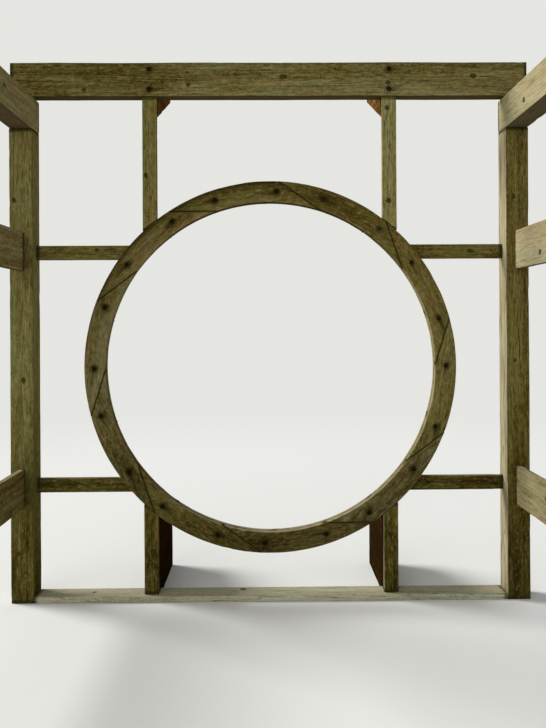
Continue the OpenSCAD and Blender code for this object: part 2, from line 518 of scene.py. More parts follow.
    def rusted(self, paint):
        """A colour with the dark streaks and stains of the bolt recesses, and painted shade in their
        insides.
        """
        tail_x, tail_y, tail_depth = self.attribute("tail")
        tail = self.rise(self.maths("ABSOLUTE", tail_y) + self.streak.swing(1.0), 1.0, 0.05)
        tail = tail * self.rise(tail_x, 1.0, 0.2) * self.rise(tail_x, -0.3, 0.0) * tail_depth
        paint = self.mix(tail, paint, scaled(self.deep, 0.12))
        hole_x, hole_y, hole_depth = self.attribute("hole")
        distance = self.maths("SQRT", hole_x * hole_x + hole_y * hole_y) + self.blotch.swing(0.5)
        stain = self.rise(distance + self.band.swing(3.0), 3.2, 0.8) * hole_depth
        paint = self.mix(stain * 0.7, paint, scaled(self.deep, 0.14))
        # Painted shade: the insides of the recesses are made almost black
        hole = self.rise(distance, 1.30, 0.90) * hole_depth
        return self.mix(hole, paint, scaled(self.base, 0.05))

    def height(self):
        """How far the surface stands up, in metres."""
        return (
            self.streak * STREAK_HEIGHT
            + self.blotch * BLOTCH_HEIGHT
            + self.late * LATE_WOOD_HEIGHT
            + self.fibre * FIBRE_HEIGHT
            - self.mould * MOULD_SINK
            - self.crack * CRACK_SINK
            + self.knot * KNOT_HEIGHT
            - self.halo * HALO_SINK
        )


def wood_finish(slot):
    """The weathered timber of one slot."""
    name = f"weathered_{slot}"
    if name in bpy.data.materials:
        return bpy.data.materials[name]
    base = linear(getattr(settings().colours, slot))
    wood = Wood(bpy.data.materials.new(name), WOOD_LOOKS[slot], base)
    sockets = {
        "Base Color": wood.rusted(wood.marked(wood.bleached(wood.stained(wood.ground())))),
        "Roughness": 0.86 + wood.patch.swing(0.2) + wood.late * 0.05,
        "Specular IOR Level": 0.0,
    }
    return wood.close(sockets, wood.height())


def steel_finish():
    """Rusted steel with scaly patches."""
    if "steel" in bpy.data.materials:
        return bpy.data.materials["steel"]
    base = linear(settings().colours.steel)
    finish = Finish(bpy.data.materials.new("steel"))
    place = finish.parts(finish.node("ShaderNodeTexCoord", {}, {}, "Object"))
    scale = finish.noise(place, *SCALE)
    rust = finish.rise(scale + finish.noise(place, *BLOOM).swing(0.8), 0.42, 0.62)
    sockets = {
        "Base Color": finish.mix(rust, scaled(base, 0.7), RUST_COLOUR),
        "Metallic": finish.rise(rust, 0.6, 0.0) * 0.35,
        "Roughness": 0.7 + rust * 0.2,
        "Specular IOR Level": 0.2,
    }
    return finish.close(sockets, scale * SCALE_HEIGHT)


# Distances from the gate between which the floor fades into the backdrop
FLOOR_FADE = (3.5, 9.0)


def floor_finish():
    """Plain pale floor that fades into the backdrop far from the gate."""
    finish = Finish(bpy.data.materials.new("floor"))
    base = linear(settings().colours.floor)
    place = finish.node("ShaderNodeTexCoord", {}, {}, "Object")
    reach = finish.node("ShaderNodeVectorMath", {"operation": "LENGTH"}, {0: place}, "Value")
    plain = finish.node("ShaderNodeBsdfDiffuse", {}, {"Color": base})
    glow = finish.node("ShaderNodeEmission", {}, {"Color": base, "Strength": 1.0})
    seen = finish.node("ShaderNodeLightPath", {}, {}, "Is Camera Ray")
    share = finish.rise(reach, *FLOOR_FADE) * seen
    both = finish.node("ShaderNodeMixShader", {}, {0: share, 1: plain, 2: glow})
    finish.node("ShaderNodeOutputMaterial", {}, {"Surface": both})
    return finish.owner


def whole(bm):
    """All corners, edges and faces of a mesh."""
    return bm.verts[:] + bm.edges[:] + bm.faces[:]


def ease(bm, geometry, width, segments, affect="EDGES"):
    """Rounds edges or corners."""
    bmesh.ops.bevel(
        bm,
        geom=geometry,
        offset=width,
        offset_type="OFFSET",
        segments=segments,
        profile=0.5,
        affect=affect,
        clamp_overlap=True,
        material=-1,
    )


def slice_mesh(bm, axis, offsets):
    """Adds a mesh line round the shape at each offset along an axis."""
    direction = Vector(int(axis == other) for other in range(3))
    for offset in offsets:
        place = direction * offset
        bmesh.ops.bisect_plane(bm, geom=whole(bm), dist=TINY, plane_co=place, plane_no=direction)


def even_offsets(half, spacing, lines=()):
    """Offsets between -half and half about a spacing apart, with the given lines among them."""
    count = max(1, round(2 * half / spacing))
    regular = [half * (2 * step / count - 1) for step in range(1, count)]
    clear = [offset for offset in regular if all(abs(offset - line) > spacing / 2 for line in lines)]
    return sorted(clear + list(lines))


def clamped(value):
    """A value held between 0 and 1."""
    return min(1.0, max(0.0, value))


def fade(distance, reach):
    """1 at no distance, falling to 0 at the reach."""
    return max(0.0, 1 - distance / reach)


def wave(spot, stretch, shift=Vector((0, 0, 0))):
    """Smooth noise from -1 to 1 at a spot, each part of which is stretched."""
    return noise.noise(Vector(part * factor for part, factor in zip(spot, stretch)) + shift)


# Drying cracks: noises, reach to the sides, least opening, and the ranges of what chance decides
CHECK_WANDER = 0.0035
CHECK_WANDER_WAVE = (2.6, 90, 1)
CHECK_RAGGED_WAVE = (14, 50, 1)
CHECK_REACH = 0.014
CHECK_CLOSED = 0.3
CHECK_SPREAD = 0.72
CHECK_CLEARANCE = 0.026
CHECK_LENGTHS = (0.22, 0.62)
CHECK_WIDTHS = (0.0022, 0.0042)
CHECK_DEPTHS = (0.6, 1.0)


class Check(NamedTuple):
    """A drying crack along the grain in one long face of a timber."""

    axis: int
    side: int
    face: float
    offset: float
    start: float
    stop: float
    width: float
    depth: float

    def lines(self):
        """Offsets of the two lips and of the bottom of the crack."""
        return [self.offset - self.width / 2, self.offset, self.offset + self.width / 2]

    def opening(self, place):
        """How far the crack is open at a place along the timber, from 0 to 1."""
        share = (place - self.start) / (self.stop - self.start)
        if not 0 < share < 1:
            return 0.0
        ragged = 0.75 + 0.25 * wave((place, self.offset, 0), CHECK_RAGGED_WAVE)
        return (4 * share * (1 - share)) ** 0.45 * ragged

    def pull(self, spot):
        """How far the crack moves a point of the sawn surface."""
        move = Vector((0, 0, 0))
        aside = spot[self.axis] - self.offset
        if abs(spot[3 - self.axis] - self.face) > TOUCHING or abs(aside) > CHECK_REACH:
            return move
        opening = self.opening(spot.x)
        wander = CHECK_WANDER * wave((spot.x, self.offset, self.side), CHECK_WANDER_WAVE)
        move[self.axis] = wander * (1 - abs(aside) / CHECK_REACH)
        if abs(aside) < TOUCHING:
            move[3 - self.axis] = -self.side * self.depth * opening
        elif abs(abs(aside) - self.width / 2) < TOUCHING:
            move[self.axis] += aside * (max(opening, CHECK_CLOSED) - 1)
        return move


def drying_checks(piece, faces, depth):
    """Chance cracks, as many as given for each long face of a timber."""
    half, dice = piece.half, piece.dice
    checks = []
    for face, count in faces.items():
        axis, side = FACES[face]
        offsets = []
        for _ in range(count):
            offset = dice.uniform(-CHECK_SPREAD, CHECK_SPREAD) * half[axis]
            if any(abs(offset - other) < CHECK_CLEARANCE for other in offsets):
                continue
            offsets.append(offset)
            span = dice.uniform(*CHECK_LENGTHS) * half.x
            start = dice.uniform(-half.x, half.x - span)
            width = dice.uniform(*CHECK_WIDTHS)
            sunk = depth * dice.uniform(*CHECK_DEPTHS)
            checks.append(
                Check(axis, side, side * half[3 - axis], offset, start, start + span, width, sunk)
            )
    return checks


# Reach of grime from an end, how much dampness with painted shade darkens the wood near the ground and
# how high that reaches, and height of a pale low edge
END_GRIME = 0.035
GROUND_DAMP_AND_SHADE = 0.35
DAMP_REACH = 1.3
LOW_EDGE = 0.12

# The left end of the gate, which stays wet and lies in painted shade: where it starts, and how dark
# (dampness with painted shade) and how brown the wood is there
DAMP_END_X = -0.45
DAMP_END_FADE = 0.35
DAMP_END_SHADE = 0.16
DAMP_END_WARMTH = 0.3

# Ranges of what chance decides: the pith's place, in half sizes of the section, and the tone
PITH_ACROSS = (-0.6, 0.6)
PITH_THROUGH = (1.2, 2.2)
POST_PITH = (-0.35, 0.35)
CHANCE_TONE = (-0.03, 0.03)


class Piece:
    """One timber: how its grain lies in the gate, and what marks it."""

    pith = (0.0, 0.0)
    lightness = 0.0
    low_edge = 0.0
    # Darkening near the ground: dampness, with painted shade
    damp = GROUND_DAMP_AND_SHADE
    moss = 1.0
    warmth = 0.0
    stain = 1.0
    # Darkening and browning at the left end: dampness, with painted shade
    damp_end = 0.0

    def __init__(self, node, slot, axes, middle, half):
        self.node = node
        self.slot = slot
        self.half = half
        self.dice = random.Random(node)
        along, across = axes
        turn = Matrix((along, across, along.cross(across))).transposed().to_4x4()
        self.matrix = Matrix.Translation(middle) @ turn
        self.to_local = self.matrix.inverted()
        self.seed = Vector(self.dice.uniform(-60, 60) for _ in range(3))
        self.knots = []
        self.holes = []
        self.tails = []
        self.checks = []
        self.recesses = []

    def set_looks(self, looks):
        """Takes over tones and other looks, given by name."""
        for name, value in looks.items():
            setattr(self, name, value)

    def arris_distance(self, spot):
        """Distance of a surface point from the nearest long arris."""
        return max(self.half.y - abs(spot.y), self.half.z - abs(spot.z))

    def end_distance(self, spot):
        """Distance of a surface point from the nearest end."""
        return self.half.x - abs(spot.x)

    def dirt(self, spot):
        """How much grime has gathered at a point, from 0 to 1: it sits at the ends."""
        return fade(self.end_distance(spot), END_GRIME)

    def end_damp(self, spot):
        """How far a point lies into the wet left end, from 0 to 1; the darkening it drives is dampness
        with painted shade.
        """
        return self.damp_end * clamped((DAMP_END_X - (self.matrix @ spot).x) / DAMP_END_FADE)

    def shade(self, spot):
        """How much lighter than the middle tone a point is: dampness with painted shade darkens it near
        the ground and at the left end, and a low edge is paler.
        """
        # Painted shade, with dampness, near the ground and at the left end
        damp = self.damp * fade((self.matrix @ spot).z, DAMP_REACH)
        damp += DAMP_END_SHADE * self.end_damp(spot)
        return self.lightness - damp + self.low_edge * fade(self.half.y + spot.y, LOW_EDGE)

    def tone(self, spot):
        """Lightness, moss and warmth of a point."""
        warmth = self.warmth + DAMP_END_WARMTH * self.end_damp(spot)
        return (self.shade(spot), self.moss, warmth)


def lying_box(node, axes):
    """Middle of a CAD node's box, and half its size along, across and through the grain."""
    low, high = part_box(node)
    along, across = axes
    half = Vector(abs((high - low).dot(axis)) / 2 for axis in (along, across, along.cross(across)))
    return (low + high) / 2, half


def straight_piece(node, slot, axes, **looks):
    """A straight timber in the box of its CAD node."""
    piece = Piece(node, slot, axes, *lying_box(node, axes))
    half, dice = piece.half, piece.dice
    piece.pith = (dice.uniform(*PITH_ACROSS) * half.y, dice.uniform(*PITH_THROUGH) * half.z)
    piece.lightness = dice.uniform(*CHANCE_TONE)
    piece.set_looks(looks)
    return piece


def long_edges(bm, half):
    """The edges that run all along a block."""
    return [edge for edge in bm.edges if abs(edge.verts[0].co.x - edge.verts[1].co.x) > half.x]


def at_end(edge, half):
    """Whether an edge lies in an end face of a block."""
    return all(half.x - abs(vert.co.x) < TINY for vert in edge.verts)


def block_shape(piece, rows, stations):
    """A block with eased arrises and mesh lines along and across it, in the timber's own axes."""
    sizes = settings().timber
    half = piece.half
    bm = bmesh.new()
    bmesh.ops.create_cube(bm, size=2)
    bmesh.ops.scale(bm, vec=half, verts=bm.verts)
    ease(bm, long_edges(bm, half), sizes.arris, 2)
    ease(bm, [edge for edge in bm.edges if at_end(edge, half)], sizes.end_arris, 1)
    for axis in (1, 2):
        lines = [line for check in piece.checks if check.axis == axis for line in check.lines()]
        slice_mesh(bm, axis, even_offsets(half[axis], sizes.row_spacing * rows, lines))
    cuts = max(1, round(2 * half.x / (sizes.station_spacing * stations)) - 1)
    bmesh.ops.subdivide_edges(bm, edges=long_edges(bm, half), cuts=cuts, use_grid_fill=True)
    return bm


# Wear: the width of the strip that it takes along an arris, its noises, and where chips start
WORN_STRIP = 0.012
BROAD_WAVE = (2.4, 12, 12)
FINE_WAVE = (9, 70, 70)
CHIP_WAVE = (11, 4, 4)
CHIP_START = 0.38


def weather(bm, piece):
    """Wears a timber back from its sawn size: hollows, worn and chipped arrises, drying cracks."""
    sizes = settings().timber
    bm.normal_update()
    for vert in bm.verts:
        spot = vert.co.copy()
        move = Vector((0, 0, 0))
        for check in piece.checks:
            move += check.pull(spot)
        near = fade(piece.arris_distance(spot), WORN_STRIP)
        broad = wave(spot, BROAD_WAVE, piece.seed)
        fine = wave(spot, FINE_WAVE, piece.seed)
        depth = sizes.surface_wear * (1 + 0.6 * broad + 0.4 * fine)
        depth += near * sizes.arris_wear * (1 + broad + 0.5 * fine)
        chip = max(0.0, wave(spot, CHIP_WAVE, -piece.seed) - CHIP_START)
        depth += near * sizes.chip_depth * chip
        vert.co = spot + move - vert.normal * depth


# How far each kind of mark reaches, in its own radii
KNOT_REACH = 4.0
HOLE_REACH = 3.0
TAIL_REACH = 3.0


def nearest_mark(spot, marks, reach):
    """Offset of a point from the nearest mark, in the mark's own radii, with the mark's strength."""
    best = Vector((FAR, FAR, 0))
    for mark_x, mark_y, along, across, strength in marks:
        offset = Vector(((spot.x - mark_x) / along, (spot.y - mark_y) / across, strength))
        if offset.xy.length < min(reach, best.xy.length):
            best = offset
    return best


def stamp(bm, piece):
    """Writes what the material reads onto the mesh: the grain, marks, edges and tone."""
    names = ("grain", "knot", "hole", "tail", "place", "tone")
    layers = {name: bm.verts.layers.float_vector.new(name) for name in names}
    origin = Vector((piece.seed.x, -piece.pith[0], -piece.pith[1]))
    for vert in bm.verts:
        spot = piece.to_local @ vert.co
        vert[layers["grain"]] = spot + origin
        vert[layers["knot"]] = nearest_mark(spot, piece.knots, KNOT_REACH)
        vert[layers["hole"]] = nearest_mark(spot, piece.holes, HOLE_REACH)
        vert[layers["tail"]] = nearest_mark(spot, piece.tails, TAIL_REACH)
        vert[layers["place"]] = (piece.arris_distance(spot), piece.end_distance(spot), piece.dirt(spot))
        vert[layers["tone"]] = piece.tone(spot)


def mesh_object(bm, name, material):
    """Turns a finished bmesh into an object, smooth but for its sharp edges."""
    bm.normal_update()
    for face in bm.faces:
        face.smooth = True
    for edge in bm.edges:
        edge.smooth = edge.calc_face_angle(0) < SMOOTH_ANGLE
    made = linked_object(bm, name)
    made.data.materials.append(material)
    return made


def linked_object(bm, name):
    """Turns a bmesh into an object of the scene, and frees it."""
    mesh = bpy.data.meshes.new(name)
    bm.to_mesh(mesh)
    bm.free()
    made = bpy.data.objects.new(name, mesh)
    bpy.context.scene.collection.objects.link(made)
    return made


def carved(bm, cutter):
    """A bmesh less a cutter."""
    body = linked_object(bm, "body")
    tool = linked_object(cutter, "cutter")
    modifier = body.modifiers.new("recess", "BOOLEAN")
    modifier.operation = "DIFFERENCE"
    modifier.solver = "EXACT"
    modifier.object = tool
    cut = body.evaluated_get(bpy.context.evaluated_depsgraph_get())
    result = bmesh.new()
    result.from_mesh(cut.to_mesh())
    cut.to_mesh_clear()
    for part in (body, tool):
        bpy.data.meshes.remove(part.data)
    return result


# The worn, flared mouth of a recess: shares of its radius, and depths
RECESS_MOUTH = ((1.0, 0.0035), (1.08, 0.0008), (1.35, -0.0060), (0.0, -0.0060))
RECESS_STEPS = 28


def recess_cutter(places):
    """Round cutters for bolt recesses in a front face."""
    sizes = settings().bolts
    radius = sizes.recess_diameter / 2
    profile = [(0.0, sizes.recess_depth), (radius, sizes.recess_depth)]
    profile += [(radius * share, depth) for share, depth in RECESS_MOUTH]
    bm = bmesh.new()
    for place in places:
        add_spun_shape(bm, place, profile, RECESS_STEPS)
    return bm


def add_spun_shape(bm, place, profile, steps):
    """Adds a closed round shape about a line to the back, from its radii and depths."""
    verts = [bm.verts.new(place + Vector((radius, depth, 0))) for radius, depth in profile]
    edges = [bm.edges.new(pair) for pair in zip(verts, verts[1:])]
    others = set(bm.verts) - set(verts)
    bmesh.ops.spin(
        bm,
        geom=verts + edges,
        cent=place,
        axis=Vector((0, 1, 0)),
        angle=math.tau,
        steps=steps,
        use_merge=True,
    )
    made = [vert for vert in bm.verts if vert not in others]
    bmesh.ops.remove_doubles(bm, verts=made, dist=TINY)
    bmesh.ops.recalc_face_normals(bm, faces=bm.faces)


def build_timber(bm, piece, reshape=None):
    """Weathers a sawn shape, moves it into the gate and makes it stand for its CAD node."""
    weather(bm, piece)
    if reshape:
        reshape(bm, piece)
    bmesh.ops.transform(bm, matrix=piece.matrix, verts=bm.verts)
    if piece.recesses:
        bm = carved(bm, recess_cutter(piece.recesses))
    stamp(bm, piece)
    made = mesh_object(bm, f"{piece.node}_timber", wood_finish(piece.slot))
    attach(made, "root")
    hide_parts(piece.node)


def fit_to_rim(bm, piece):
    """Draws the end that meets the ring onto the rim's circle, and leaves the far end."""
    centre = piece.to_local @ RING_CENTRE
    side = 1 if centre.x > 0 else -1
    far = -side * piece.half.x
    near = side * piece.half.x
    for vert in bm.verts:
        offset = vert.co.y - centre.y
        rim = centre.x - side * math.sqrt(OUTER_RADIUS**2 - offset**2)
        vert.co.x = far + (vert.co.x - far) * (rim - far) / (near - far)


# Marks: how much longer than wide a knot is, the ranges of what chance decides, and rust streaks
KNOT_STRETCH = 1.3
PLACED_KNOT_STRETCH = 1.25
KNOT_RADII = (0.008, 0.014)
RUST_LENGTHS = (0.09, 0.15)
RUST_STRENGTHS = (0.5, 0.85)
RUST_WIDTH = 1.5
HOLE_STRENGTH = 0.95


def add_hole(piece, place):
    """Marks a bolt recess, and the stain that rain has drawn downhill along the grain from it."""
    radius = settings().bolts.recess_diameter / 2
    spot = piece.to_local @ place
    piece.recesses.append(place)
    piece.holes.append((spot.x, spot.y, radius, radius, HOLE_STRENGTH * piece.stain))
    reach = piece.dice.uniform(*RUST_LENGTHS)
    strength = piece.dice.uniform(*RUST_STRENGTHS) * piece.stain
    add_tail(piece, place, reach, radius * RUST_WIDTH, strength)


def add_tail(piece, place, reach, width, strength):
    """Marks a dark streak that starts at a place and fades along the grain, downhill."""
    spot = piece.to_local @ place
    downhill = -1 if piece.matrix.col[0].z > TINY else 1
    piece.tails.append((spot.x, spot.y, downhill * reach, width, strength))


def add_knot(piece, x, z, radius):
    """Marks a knot at a place of the front, given in the gate's own axes."""
    spot = piece.to_local @ Vector((x, 0, z))
    piece.knots.append((spot.x, spot.y, radius * PLACED_KNOT_STRETCH, radius, radius))


def add_chance_marks(piece, faces, depth, knots):
    """Gives a timber drying cracks of about a depth in some faces, and knots, kept apart."""
    piece.checks += drying_checks(piece, faces, depth)
    half, dice = piece.half, piece.dice
    for step in range(knots):
        room = 2 * half.x / knots
        place = -half.x + room * (step + dice.uniform(0.3, 0.7))
        radius = dice.uniform(*KNOT_RADII)
        across = dice.uniform(-0.6, 0.6) * half.y
        piece.knots.append((place, across, radius * KNOT_STRETCH, radius, radius))


def on_ring(radius, turn, y):
    """A place on a circle about the ring's centre."""
    return RING_CENTRE + Vector((radius * math.cos(turn), y, radius * math.sin(turn)))


# How the ring is darkened and paled: the reach of grime, the darkening towards the outer rim by grime
# and painted shade, and the painted light on the inner face and edge
RIM_GRIME = 0.045
RIM_GRIME_SHARE = 0.8
RIM_LEVEL_SHARE = 0.3
JOINT_GRIME = 0.007
RIM_GRIME_AND_PAINTED_SHADE = 0.28
INNER_FACE = 0.002
INNER_FACE_PAINTED_LIGHT = 0.07
INNER_EDGE = 0.05
INNER_EDGE_PAINTED_LIGHT = 0.06


class Segment(Piece):
    """One curved segment of the ring, with straight grain along its chord."""

    def __init__(self, node, middle_turn):
        low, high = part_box(node)
        self.inner = settings().ring.opening / 2
        self.band = OUTER_RADIUS - self.inner
        self.middle_radius = (OUTER_RADIUS + self.inner) / 2
        along = Vector((math.sin(middle_turn), 0, -math.cos(middle_turn)))
        across = Vector((math.cos(middle_turn), 0, math.sin(middle_turn)))
        middle = on_ring(self.middle_radius, middle_turn, (low.y + high.y) / 2)
        half = Vector((0, self.band / 2, (high.y - low.y) / 2))
        super().__init__(node, "ring_timber", (along, across), middle, half)
        self.pith = (self.dice.uniform(-0.10, 0.05), self.dice.uniform(0.03, 0.09))
        self.lightness = self.dice.uniform(-0.04, 0.04)
        self.moss = self.dice.uniform(0.4, 1.4)
        self.warmth = self.dice.uniform(-0.10, 0.14)
        self.centre = Vector((0, -self.middle_radius, 0))
        self.joint_side = 1 if node in BACK_SEGMENTS else -1
        # How much grime and painted shade darken the outer rim
        self.rim = 0.5

    def polar(self, radius, turn):
        """A place in the segment's own axes, by radius and by angle from its middle."""
        return self.centre + Vector((-radius * math.sin(turn), radius * math.cos(turn), 0))

    def scarf(self, seam):
        """A place on a scarf cut, and the unit normal that points off the segment."""
        sizes = settings().ring
        start = self.polar(self.inner, seam - sizes.scarf_sweep / 2)
        stop = self.polar(OUTER_RADIUS, seam + sizes.scarf_sweep / 2)
        run = (stop - start).normalized()
        normal = Vector((run.y, -run.x, 0))
        if normal.dot(start) < 0:
            normal.negate()
        return start - normal * sizes.seam_gap / 2, normal

    def scarfs(self):
        """Both scarf cuts of the segment."""
        return [self.scarf(side * SEGMENT_SWEEP / 2) for side in (-1, 1)]

    def arris_distance(self, spot):
        off_middle = (spot - self.centre).xy.length - self.middle_radius
        return max(self.half.y - abs(off_middle), self.half.z - abs(spot.z))

    def end_distance(self, spot):
        return min((place - spot).dot(normal) for place, normal in self.scarfs())

    def inset(self, spot):
        """How far a point lies in from the outer rim."""
        return OUTER_RADIUS - (spot - self.centre).xy.length

    def rim_wear(self, spot):
        """How much of the outer rim's grime and painted shade a point has, by the way its rim faces."""
        outward = (self.matrix.to_3x3() @ (spot - self.centre)).normalized()
        return self.rim * clamped(RIM_LEVEL_SHARE + outward.z)

    def dirt(self, spot):
        rim = RIM_GRIME_SHARE * self.rim_wear(spot) * fade(self.inset(spot), RIM_GRIME)
        joint = fade(self.half.z - self.joint_side * spot.z, JOINT_GRIME)
        return min(1.0, rim + joint)

    def shade(self, spot):
        reach = self.band - self.inset(spot)
        # Painted shade, with grime, deepens towards the outer rim
        plain = super().shade(spot) - RIM_GRIME_AND_PAINTED_SHADE * self.rim_wear(spot) * reach / self.band
        # Painted light on the inner face and along the inner edge
        if reach < INNER_FACE:
            return plain + INNER_FACE_PAINTED_LIGHT
        return plain + INNER_EDGE_PAINTED_LIGHT * fade(reach, INNER_EDGE)


# A band is spun a little past its scarf cuts, in steps somewhat longer than a straight timber's
SPIN_SPARE = math.radians(1)
SPIN_STEPS = 1.4


def segment_shape(segment):
    """A band of the ring, spun from its section and cut by the two scarfs."""
    sizes = settings()
    half = segment.half
    rows = round(segment.band / sizes.timber.row_spacing)
    bm = bmesh.new()
    lay = Matrix(((0, 0, 1, 0), (half.y, 0, 0, 0), (0, half.z, 0, 0), (0, 0, 0, 1)))
    bmesh.ops.create_grid(bm, x_segments=rows, y_segments=5, size=1, matrix=lay)
    corners = [vert for vert in bm.verts if len(vert.link_edges) == 2]
    ease(bm, corners, sizes.timber.arris, 2, "VERTICES")
    reach = SEGMENT_SWEEP / 2 + sizes.ring.scarf_sweep / 2 + SPIN_SPARE
    start = Matrix.Rotation(-reach, 3, "Z")
    bmesh.ops.rotate(bm, cent=segment.centre, matrix=start, verts=bm.verts)
    bmesh.ops.spin(
        bm,
        geom=whole(bm),
        cent=segment.centre,
        axis=Vector((0, 0, 1)),
        angle=2 * reach,
        steps=round(2 * reach * segment.middle_radius / sizes.timber.station_spacing * SPIN_STEPS),
    )
    for place, normal in segment.scarfs():
        cut = bmesh.ops.bisect_plane(
            bm, geom=whole(bm), dist=TINY, plane_co=place, plane_no=normal, clear_outer=True
        )
        rim = [item for item in cut["geom_cut"] if isinstance(item, bmesh.types.BMEdge)]
        bmesh.ops.contextual_create(bm, geom=rim)
        ease(bm, rim, sizes.ring.seam_arris, 1)
    bmesh.ops.remove_doubles(bm, verts=bm.verts, dist=TINY)
    bmesh.ops.recalc_face_normals(bm, faces=bm.faces)
    return bm


def segment_turn(number, layer_shift=0.0):
    """Angle of the middle of a segment, from the right; the back layer is shifted half a segment."""
    return settings().ring.first_seam + (number - 0.5 + layer_shift) * SEGMENT_SWEEP


def segment_bolts(number):
    """Where the two bolts of a front segment sit."""
    sizes = settings().ring
    radius = OUTER_RADIUS - sizes.bolt_edge
    middle = segment_turn(number)
    return [on_ring(radius, middle + side * sizes.bolt_turn, RING_LOW.y) for side in (-1, 1)]


def header_bolts():
    """Where the header's bolts sit, over the studs."""
    low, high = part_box("upper_stud_right")
    stud_x = (low.x + high.x) / 2
    middle_z = (HEADER_LOW.z + HEADER_HIGH.z) / 2
    gap = settings().bolts.header_gap
    return [
        Vector((side * stud_x, HEADER_LOW.y, middle_z + step * gap))
        for side in SIDES.values()
        for step in (-0.5, 0.5)
    ]


class GateOperator(bpy.types.Operator):
    """Common ground of the operators that build the gate."""

    bl_options = {"REGISTER", "UNDO"}


# How each front segment looks in the photo, from the right, anticlockwise
FRONT_LOOKS = (
    # rim: how much grime and painted shade darken each segment's outer rim
    {"lightness": -0.06, "warmth": 0.06, "moss": 1.0, "rim": 0.1, "stain": 0.6},
    {"lightness": -0.20, "warmth": 0.12, "moss": 0.9, "rim": 0.0, "stain": 0.6},
    {"lightness": -0.02, "warmth": 0.00, "moss": 1.0, "rim": 1.0},
    {"lightness": 0.03, "warmth": 0.14, "moss": 0.5, "rim": 1.0},
    {"lightness": 0.06, "warmth": -0.04, "moss": 0.4, "rim": 1.0},
    {"lightness": -0.04, "warmth": -0.05, "moss": 0.3, "rim": 0.4},
    # The two lowest segments are darker in part by painted shade
    {"lightness": -0.04, "warmth": 0.00, "moss": 0.5, "rim": 0.2},
    {"lightness": -0.03, "warmth": 0.00, "moss": 0.3, "rim": 0.2},
    {"lightness": 0.00, "warmth": -0.04, "moss": 0.0, "rim": 0.0},
    {"lightness": 0.00, "warmth": -0.15, "moss": 0.7, "rim": 0.0},
)


class MOONGATE_OT_ring_front(GateOperator):
    """Builds the ten segments of the ring's front layer"""

    bl_idname = "moongate.ring_front"
    bl_label = "Ring, front layer"

    def execute(self, context):
        for number, (node, looks) in enumerate(zip(FRONT_SEGMENTS, FRONT_LOOKS), 1):
            segment = Segment(node, segment_turn(number))
            segment.set_looks(looks)
            for place in segment_bolts(number):
                add_hole(segment, place)
            build_timber(segment_shape(segment), segment)
        return {"FINISHED"}


class MOONGATE_OT_ring_back(GateOperator):
    """Builds the ten segments of the ring's back layer"""

    bl_idname = "moongate.ring_back"
    bl_label = "Ring, back layer"

    def execute(self, context):
        for number, node in enumerate(BACK_SEGMENTS, 1):
            segment = Segment(node, segment_turn(number, 0.5))
            build_timber(segment_shape(segment), segment)
        return {"FINISHED"}


# The header's looks, and the marks that show in its front: places and sizes in metres
HEADER_LOOKS = {
    "low_edge": 0.10,
    "lightness": -0.04,
    "warmth": 0.08,
    "moss": 0.45,
    # The left end is darker and browner: dampness, with painted shade
    "damp_end": 1.0,
}
HEADER_TAILS = (
    (-0.82, 3.158, 0.14),
    (-0.73, 3.170, 0.16),
    (-0.56, 3.166, 0.17),
    (-0.46, 3.146, 0.16),
)
HEADER_KNOTS = (
    (-0.49, 3.118, 0.011),
    (0.085, 3.168, 0.014),
    (-1.12, 3.09, 0.010),
    (0.72, 3.13, 0.012),
    (1.24, 3.17, 0.013),
)
HEADER_CHECKS = (
    (-0.84, -0.30, 3.152, 0.0030, 0.014),
    (-1.45, -0.98, 3.190, 0.0030, 0.012),
    (0.10, 0.66, 3.112, 0.0034, 0.014),
    (0.78, 1.38, 3.165, 0.0036, 0.015),
    (-0.22, 0.05, 3.205, 0.0026, 0.009),
)


class MOONGATE_OT_header(GateOperator):
    """Builds the header with its bolt recesses"""

    bl_idname = "moongate.header"
    bl_label = "Header"

    def execute(self, context):
        piece = straight_piece("header", "frame_timber", ALONG_X, **HEADER_LOOKS)
        for place in header_bolts():
            add_hole(piece, place)
        for x, z, reach in HEADER_TAILS:
            add_tail(piece, Vector((x, 0, z)), reach, width=0.006, strength=0.55)
        for x, z, radius in HEADER_KNOTS:
            add_knot(piece, x, z, radius)
        for start_x, stop_x, z, width, depth in HEADER_CHECKS:
            start = piece.to_local @ Vector((start_x, 0, z))
            stop = piece.to_local @ Vector((stop_x, 0, z))
            piece.checks.append(
                Check(*FACES["front"], piece.half.z, start.y, start.x, stop.x, width, depth)
            )
        add_chance_marks(piece, {"back": 3, "top": 2, "bottom": 1}, depth=0.016, knots=0)
        build_timber(block_shape(piece, rows=0.9, stations=0.8), piece)
        return {"FINISHED"}


# How much lighter than the middle tone each timber is, in the order of the corners
CORNERS = [(level, side) for level in ("upper", "lower") for side in SIDES]
# The upper right stud is lightened in part by painted sunlight
STUD_TONES_AND_PAINTED_LIGHT = (0.0, 0.18, 0.0, -0.03)
RAIL_TONES = (-0.08, -0.12, -0.10, -0.15)
# The left boards are darkened in part by painted shade, the upper right one lightened in part by painted
# sunlight
BOARD_TONES_AND_PAINTED_LIGHT = (-0.08, 0.22, -0.06, 0.06)
# The right beam is lightened in part by painted sunlight
BEAM_TONES_AND_PAINTED_LIGHT = {"left": -0.02, "right": 0.12}
POST_TONES = {"left": 0.10, "right": -0.03}
POST_WARMTH = {"left": -0.05, "right": 0.32}

# Knots of the upper right stud, where they show, each with a dark streak beside it
STUD_KNOTS = ((0.712, 2.978, 0.011), (0.722, 2.415, 0.012))
STUD_TAILS = ((0.714, 2.970, 0.055, 0.006, 0.8), (0.724, 2.405, 0.045, 0.007, 0.6))


